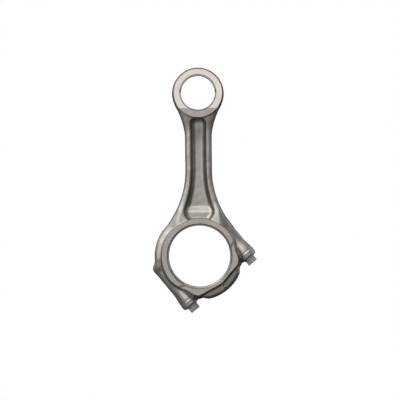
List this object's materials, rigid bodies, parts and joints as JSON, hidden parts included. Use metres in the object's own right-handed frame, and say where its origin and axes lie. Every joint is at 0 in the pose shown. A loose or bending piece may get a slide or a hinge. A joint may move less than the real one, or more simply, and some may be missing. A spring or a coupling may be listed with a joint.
{
  "type": "connecting rod",
  "caption": "Forged engine connecting rod with an I-section shank, a wedge-shaped bushed small end and an oblique-split big end with a bolted cap and bearing shells.",
  "frame": {"origin": "centre of the crank bore, on its axis and midway between the thrust faces", "axes": "+Z from the crank bore to the pin bore, +Y along both bores away from the front face, +X to the right seen from the front"},
  "size_m": [0.1223, 0.038, 0.2891],
  "materials": {
    "forged_steel": "shot-blasted forging with ground faces",
    "cap_steel": "shot-blasted forging with ground faces",
    "bush_bronze": "fine-bored bronze",
    "bearing_lining": "satin bearing lining on a steel back",
    "bolt_steel": "phosphated bolt steel"
  },
  "bodies": {
    "rod": {"rod_body": "forged_steel", "small_end_bush": "bush_bronze", "upper_bearing_shell": "bearing_lining"},
    "cap": {"bearing_cap": "cap_steel", "lower_bearing_shell": "bearing_lining"},
    "left_bolt": {"left_cap_bolt": "bolt_steel"},
    "right_bolt": {"right_cap_bolt": "bolt_steel"}
  },
  "joints": [
    {"name": "cap_slide", "type": "slide", "parent": "rod", "child": "cap", "axis": [0.6293, 0, -0.7771], "range_m": [0, 0.0175]},
    {"name": "left_bolt_turn", "type": "hinge", "parent": "cap", "child": "left_bolt", "pos_m": [-0.03388, 0, -0.02744], "axis": [0.6293, 0, -0.7771], "range_deg": [0, 5040]},
    {"name": "right_bolt_turn", "type": "hinge", "parent": "cap", "child": "right_bolt", "pos_m": [0.03388, 0, 0.02744], "axis": [0.6293, 0, -0.7771], "range_deg": [0, 5040]}
  ],
  "couplings": [
    {"joint": "left_bolt_turn", "follows": "cap_slide", "rad_per_m": 5026.5},
    {"joint": "right_bolt_turn", "follows": "cap_slide", "rad_per_m": 5026.5}
  ]
}
